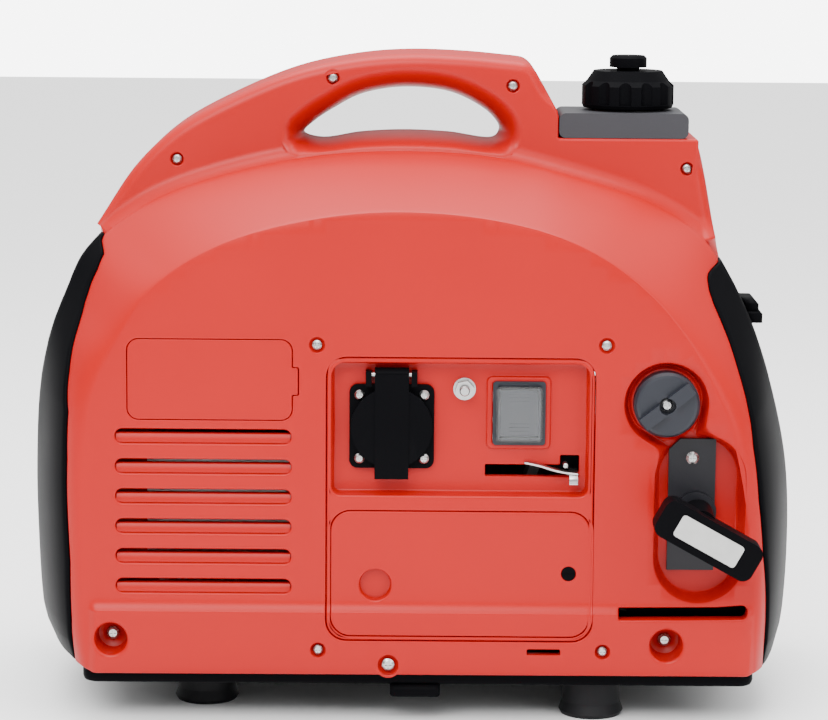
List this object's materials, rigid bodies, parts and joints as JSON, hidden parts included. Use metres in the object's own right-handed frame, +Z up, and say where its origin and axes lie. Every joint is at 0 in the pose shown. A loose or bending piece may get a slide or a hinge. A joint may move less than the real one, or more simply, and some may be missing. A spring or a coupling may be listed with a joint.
{
  "type": "portable generator",
  "caption": "Suitcase-style inverter generator: arched shell with carrying handle, control panel, recoil starter, fuel cap and rubber feet.",
  "frame": {"origin": "middle of the overall box, on the floor under the feet", "axes": "+X to the machine's right as seen from the control panel, +Y to the rear, +Z up"},
  "size_m": [0.4591, 0.2612, 0.3958],
  "materials": {
    "red_plastic": "satin ABS",
    "black_plastic": "fine texture",
    "grey_plastic": "satin",
    "rubber": "matte",
    "clear_plastic": "clear",
    "zinc": "zinc plated",
    "brass": "plain",
    "label_plate": "blank plate",
    "rope": "braided cord",
    "white_plastic": "nylon",
    "tank_plastic": "moulded",
    "cast_aluminium": "as cast",
    "cast_iron": "as cast",
    "steel": "machined",
    "cable": "sleeved"
  },
  "bodies": {
    "housing": {"air_filter": "black_plastic", "base_tray": "black_plastic", "cap_pad": "grey_plastic", "carburettor": "cast_aluminium", "connecting_rod": "steel", "control_panel": "red_plastic", "crank_bearings": "steel", "crankcase": "cast_aluminium", "cylinder": "cast_iron", "cylinder_head": "cast_aluminium", "engine_mounts": "rubber", "front_shell": "red_plastic", "fuel_cock": "brass", "fuel_hose": "rubber", "fuel_strainer": "white_plastic", "fuel_tank": "tank_plastic", "ground_terminal": "zinc", "ignition_coil": "cast_iron", "inverter_module": "cast_aluminium", "large_screws": "zinc", "left_end_cover": "black_plastic", "muffler": "steel", "piston": "cast_aluminium", "plug_lead": "cable", "rear_shell": "red_plastic", "rewind_spring": "zinc", "right_end_cover": "black_plastic", "rubber_feet": "rubber", "small_screws": "zinc", "socket_body": "black_plastic", "socket_contacts": "brass", "socket_lid_pin": "zinc", "socket_screws": "zinc", "spark_plug": "steel", "spine_front_half": "red_plastic", "spine_rear_half": "red_plastic", "starter_guide_plate": "black_plastic", "starter_housing": "black_plastic", "stator": "cast_iron", "switch_body": "black_plastic", "switch_cover": "clear_plastic", "wiring_loom": "cable"},
    "cap_lift": {"cap_gasket": "rubber"},
    "cap": {"fuel_cap": "black_plastic"},
    "vent": {"vent_knob": "black_plastic"},
    "lid": {"socket_lid": "black_plastic"},
    "rocker": {"switch_rocker": "black_plastic"},
    "choke": {"choke_lever": "zinc"},
    "knob": {"engine_knob": "black_plastic", "knob_screw": "zinc", "fuel_cock_plug": "brass"},
    "grip": {"starter_grip": "black_plastic", "grip_label": "label_plate", "starter_rope": "rope"},
    "pulley": {"starter_pulley": "white_plastic"},
    "crank": {"crankshaft": "steel", "flywheel_fan": "cast_aluminium"},
    "hatch": {"access_hatch": "red_plastic"},
    "door": {"service_door": "red_plastic"},
    "door_fixing": {"door_screw": "black_plastic"}
  },
  "joints": [
    {"name": "cap_rise", "type": "slide", "parent": "housing", "child": "cap_lift", "axis": [0, 0, 1], "range_m": [0, 0.012]},
    {"name": "cap_turn", "type": "hinge", "parent": "cap_lift", "child": "cap", "pos_m": [0.1297, 0.01765, 0.37], "axis": [0, 0, 1], "range_deg": [0, 1080]},
    {"name": "vent_turn", "type": "hinge", "parent": "cap", "child": "vent", "pos_m": [0.1297, 0.01765, 0.39], "axis": [0, 0, 1], "range_deg": [0, 180]},
    {"name": "socket_lid_hinge", "type": "hinge", "parent": "housing", "child": "lid", "pos_m": [-0.0128, -0.08575, 0.212], "axis": [-1, 0, 0], "range_deg": [0, 95], "stiffness_Nm_per_rad": 0.02, "springref_deg": -17.19},
    {"name": "switch_rock", "type": "hinge", "parent": "housing", "child": "rocker", "pos_m": [0.0622, -0.07785, 0.1892], "axis": [1, 0, 0], "range_deg": [-7, 7]},
    {"name": "choke_slide", "type": "slide", "parent": "housing", "child": "choke", "axis": [-1, 0, 0], "range_m": [0, 0.04]},
    {"name": "engine_knob_turn", "type": "hinge", "parent": "housing", "child": "knob", "pos_m": [0.1485, -0.08235, 0.196], "axis": [0, 1, 0], "range_deg": [0, 90]},
    {"name": "starter_pull", "type": "slide", "parent": "housing", "child": "grip", "axis": [0, -1, 0], "range_m": [0, 0.5], "stiffness_N_per_m": 12, "springref_m": -0.5, "deforming": ["starter_rope"]},
    {"name": "pulley_turn", "type": "hinge", "parent": "housing", "child": "pulley", "pos_m": [0.12, -0.06135, 0.128], "axis": [0, 1, 0], "range_deg": [0, 860]},
    {"name": "crank_turn", "type": "hinge", "parent": "housing", "child": "crank", "pos_m": [0.12, 0.02665, 0.128], "axis": [0, 1, 0], "continuous": true},
    {"name": "hatch_hinge", "type": "hinge", "parent": "housing", "child": "hatch", "pos_m": [-0.1684, -0.09075, 0.20875], "axis": [0, 0, -1], "range_deg": [0, 110]},
    {"name": "door_lift_off", "type": "slide", "parent": "housing", "child": "door", "axis": [0, -1, 0], "range_m": [0, 0.06]},
    {"name": "door_screw_turn", "type": "hinge", "parent": "door", "child": "door_fixing", "pos_m": [0.0924, -0.09035, 0.0939], "axis": [0, -1, 0], "range_deg": [0, 90]}
  ],
  "couplings": [
    {"joint": "cap_turn", "follows": "cap_rise", "rad_per_m": 1570.8},
    {"joint": "pulley_turn", "follows": "starter_pull", "rad_per_m": 29.4}
  ]
}
